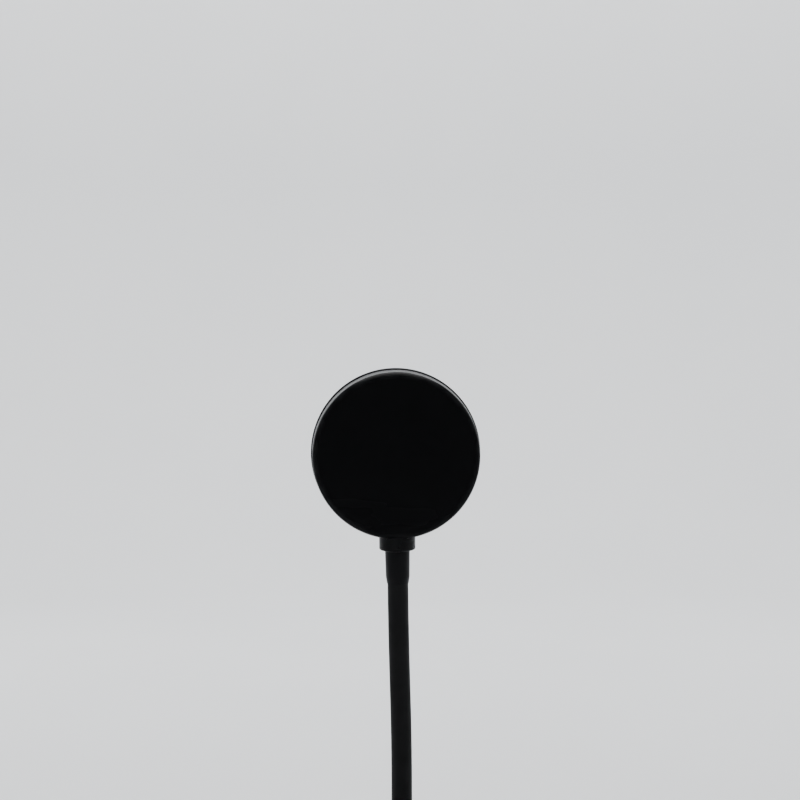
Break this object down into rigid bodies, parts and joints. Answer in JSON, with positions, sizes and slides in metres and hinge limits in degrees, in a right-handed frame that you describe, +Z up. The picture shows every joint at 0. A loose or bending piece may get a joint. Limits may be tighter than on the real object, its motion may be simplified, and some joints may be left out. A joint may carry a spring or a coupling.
{
  "type": "desk projection lamp",
  "caption": "Small desk projection lamp: weighted round base with a push button, bendable gooseneck and a flat drum head with a domed lens.",
  "frame": {"origin": "centre of the foot pad's underside, on the surface the lamp stands on", "axes": "+Z up, -Y where the light goes, +Y the side of the inlet"},
  "size_m": [0.096, 0.096, 0.2524],
  "materials": {
    "foam": "closed-cell foam, matt",
    "base_plastic": "black, fine moulded grain",
    "button_plastic": "black, semi-gloss",
    "switch_plastic": "black, matt",
    "cuff_plastic": "black, satin",
    "bezel_plastic": "black, satin",
    "shroud_plastic": "black, dead matt",
    "head_metal": "black paint, satin",
    "black_metal": "black paint, satin",
    "sleeve_rubber": "black silicone, matt",
    "seal_rubber": "black, matt",
    "lead": "black, satin",
    "steel": "zinc plated",
    "cast_iron": "as cast",
    "circuit_board": "green resist",
    "aluminium": "as machined",
    "led_board": "white resist on aluminium",
    "phosphor": "yellow phosphor gel",
    "filter_glass": "coated colour filter",
    "lens_glass": "clear, polished"
  },
  "bodies": {
    "root": {"foot_pad": "foam", "base_plate": "base_plastic", "base_screws": "steel", "ballast": "cast_iron", "base_cover": "base_plastic", "control_board": "circuit_board", "board_screws": "steel", "usb_socket": "steel", "tact_switch": "switch_plastic", "base_collar": "black_metal", "base_washer": "steel", "base_nut": "steel", "base_ferrule": "steel", "base_cuff": "cuff_plastic", "base_lead": "lead", "neck_core_00": "steel", "neck_sleeve_00": "sleeve_rubber"},
    "button": {"power_button": "button_plastic", "switch_plunger": "switch_plastic"},
    "neck_link_01": {"neck_core_01": "steel", "neck_sleeve_01": "sleeve_rubber"},
    "neck_link_02": {"neck_core_02": "steel", "neck_sleeve_02": "sleeve_rubber"},
    "neck_link_03": {"neck_core_03": "steel", "neck_sleeve_03": "sleeve_rubber"},
    "neck_link_04": {"neck_core_04": "steel", "neck_sleeve_04": "sleeve_rubber"},
    "neck_link_05": {"neck_core_05": "steel", "neck_sleeve_05": "sleeve_rubber"},
    "neck_link_06": {"neck_core_06": "steel", "neck_sleeve_06": "sleeve_rubber"},
    "neck_link_07": {"neck_core_07": "steel", "neck_sleeve_07": "sleeve_rubber"},
    "neck_link_08": {"neck_core_08": "steel", "neck_sleeve_08": "sleeve_rubber"},
    "neck_link_09": {"neck_core_09": "steel", "neck_sleeve_09": "sleeve_rubber"},
    "neck_link_10": {"neck_core_10": "steel", "neck_sleeve_10": "sleeve_rubber"},
    "neck_link_11": {"neck_core_11": "steel", "neck_sleeve_11": "sleeve_rubber"},
    "head": {"neck_core_12": "steel", "neck_sleeve_12": "sleeve_rubber", "head_ferrule": "steel", "head_cuff": "cuff_plastic", "head_collar": "black_metal", "head_nut": "steel", "head_shell": "head_metal", "heat_sink": "aluminium", "heat_sink_screws": "steel", "led_board": "led_board", "led_screws": "steel", "led_emitter": "phosphor", "light_shroud": "shroud_plastic", "lens_clamp": "black_metal", "filter_disc": "filter_glass", "lens": "lens_glass", "lens_gasket": "seal_rubber", "bezel_ring": "bezel_plastic", "head_lead": "lead"}
  },
  "joints": [
    {"name": "power_button_press", "type": "slide", "parent": "root", "child": "button", "axis": [0, 0, -1], "range_m": [0, 0.0008], "stiffness_N_per_m": 900, "springref_m": -0.0012},
    {"name": "neck_fore_aft_1", "type": "hinge", "parent": "root", "child": "neck_link_01", "pos_m": [0, 0, 0.04348], "axis": [1, 0, 0], "range_deg": [-15, 15], "deforming": ["neck_sleeve_00", "neck_sleeve_01"]},
    {"name": "neck_side_1", "type": "hinge", "parent": "neck_link_01", "child": "neck_link_02", "pos_m": [0.00002, 0.00002, 0.05265], "axis": [0, 1, -0.0018], "range_deg": [-10, 10], "deforming": ["neck_sleeve_01", "neck_sleeve_02"]},
    {"name": "neck_fore_aft_2", "type": "hinge", "parent": "neck_link_02", "child": "neck_link_03", "pos_m": [0.00007, 0.00008, 0.06182], "axis": [1, 0, -0.0062], "range_deg": [-15, 15], "deforming": ["neck_sleeve_02", "neck_sleeve_03"]},
    {"name": "neck_side_2", "type": "hinge", "parent": "neck_link_03", "child": "neck_link_04", "pos_m": [0.00019, 0.00022, 0.07098], "axis": [-0.0002, 0.9999, -0.0153], "range_deg": [-10, 10], "deforming": ["neck_sleeve_03", "neck_sleeve_04"]},
    {"name": "neck_fore_aft_3", "type": "hinge", "parent": "neck_link_04", "child": "neck_link_05", "pos_m": [0.00036, 0.00046, 0.08014], "axis": [0.9998, 0, -0.0192], "range_deg": [-15, 15], "deforming": ["neck_sleeve_04", "neck_sleeve_05"]},
    {"name": "neck_side_3", "type": "hinge", "parent": "neck_link_05", "child": "neck_link_06", "pos_m": [0.00059, 0.00082, 0.0893], "axis": [-0.001, 0.9992, -0.0388], "range_deg": [-10, 10], "deforming": ["neck_sleeve_05", "neck_sleeve_06"]},
    {"name": "neck_fore_aft_4", "type": "hinge", "parent": "neck_link_06", "child": "neck_link_07", "pos_m": [0.00084, 0.0013, 0.09845], "axis": [0.9996, 0, -0.0279], "range_deg": [-15, 15], "deforming": ["neck_sleeve_06", "neck_sleeve_07"]},
    {"name": "neck_side_4", "type": "hinge", "parent": "neck_link_07", "child": "neck_link_08", "pos_m": [0.0011, 0.0019, 0.10759], "axis": [-0.0019, 0.9978, -0.0658], "range_deg": [-10, 10], "deforming": ["neck_sleeve_07", "neck_sleeve_08"]},
    {"name": "neck_fore_aft_5", "type": "hinge", "parent": "neck_link_08", "child": "neck_link_09", "pos_m": [0.00134, 0.00262, 0.11673], "axis": [0.9997, 0, -0.0262], "range_deg": [-15, 15], "deforming": ["neck_sleeve_08", "neck_sleeve_09"]},
    {"name": "neck_side_5", "type": "hinge", "parent": "neck_link_09", "child": "neck_link_10", "pos_m": [0.00155, 0.00344, 0.12586], "axis": [-0.002, 0.996, -0.0892], "range_deg": [-10, 10], "deforming": ["neck_sleeve_09", "neck_sleeve_10"]},
    {"name": "neck_fore_aft_6", "type": "hinge", "parent": "neck_link_10", "child": "neck_link_11", "pos_m": [0.00171, 0.00433, 0.13498], "axis": [0.9998, 0, -0.0183], "range_deg": [-15, 15], "deforming": ["neck_sleeve_10", "neck_sleeve_11"]},
    {"name": "neck_side_6", "type": "hinge", "parent": "neck_link_11", "child": "head", "pos_m": [0.00185, 0.00527, 0.1441], "axis": [-0.0016, 0.9947, -0.1027], "range_deg": [-10, 10], "deforming": ["neck_sleeve_11", "neck_sleeve_12"]}
  ],
  "couplings": [
    {"joint": "neck_fore_aft_2", "follows": "neck_fore_aft_1", "ratio": 1},
    {"joint": "neck_side_2", "follows": "neck_side_1", "ratio": 1},
    {"joint": "neck_fore_aft_3", "follows": "neck_fore_aft_1", "ratio": 1},
    {"joint": "neck_side_3", "follows": "neck_side_1", "ratio": 1},
    {"joint": "neck_fore_aft_5", "follows": "neck_fore_aft_4", "ratio": 1},
    {"joint": "neck_side_5", "follows": "neck_side_4", "ratio": 1},
    {"joint": "neck_fore_aft_6", "follows": "neck_fore_aft_4", "ratio": 1},
    {"joint": "neck_side_6", "follows": "neck_side_4", "ratio": 1}
  ]
}
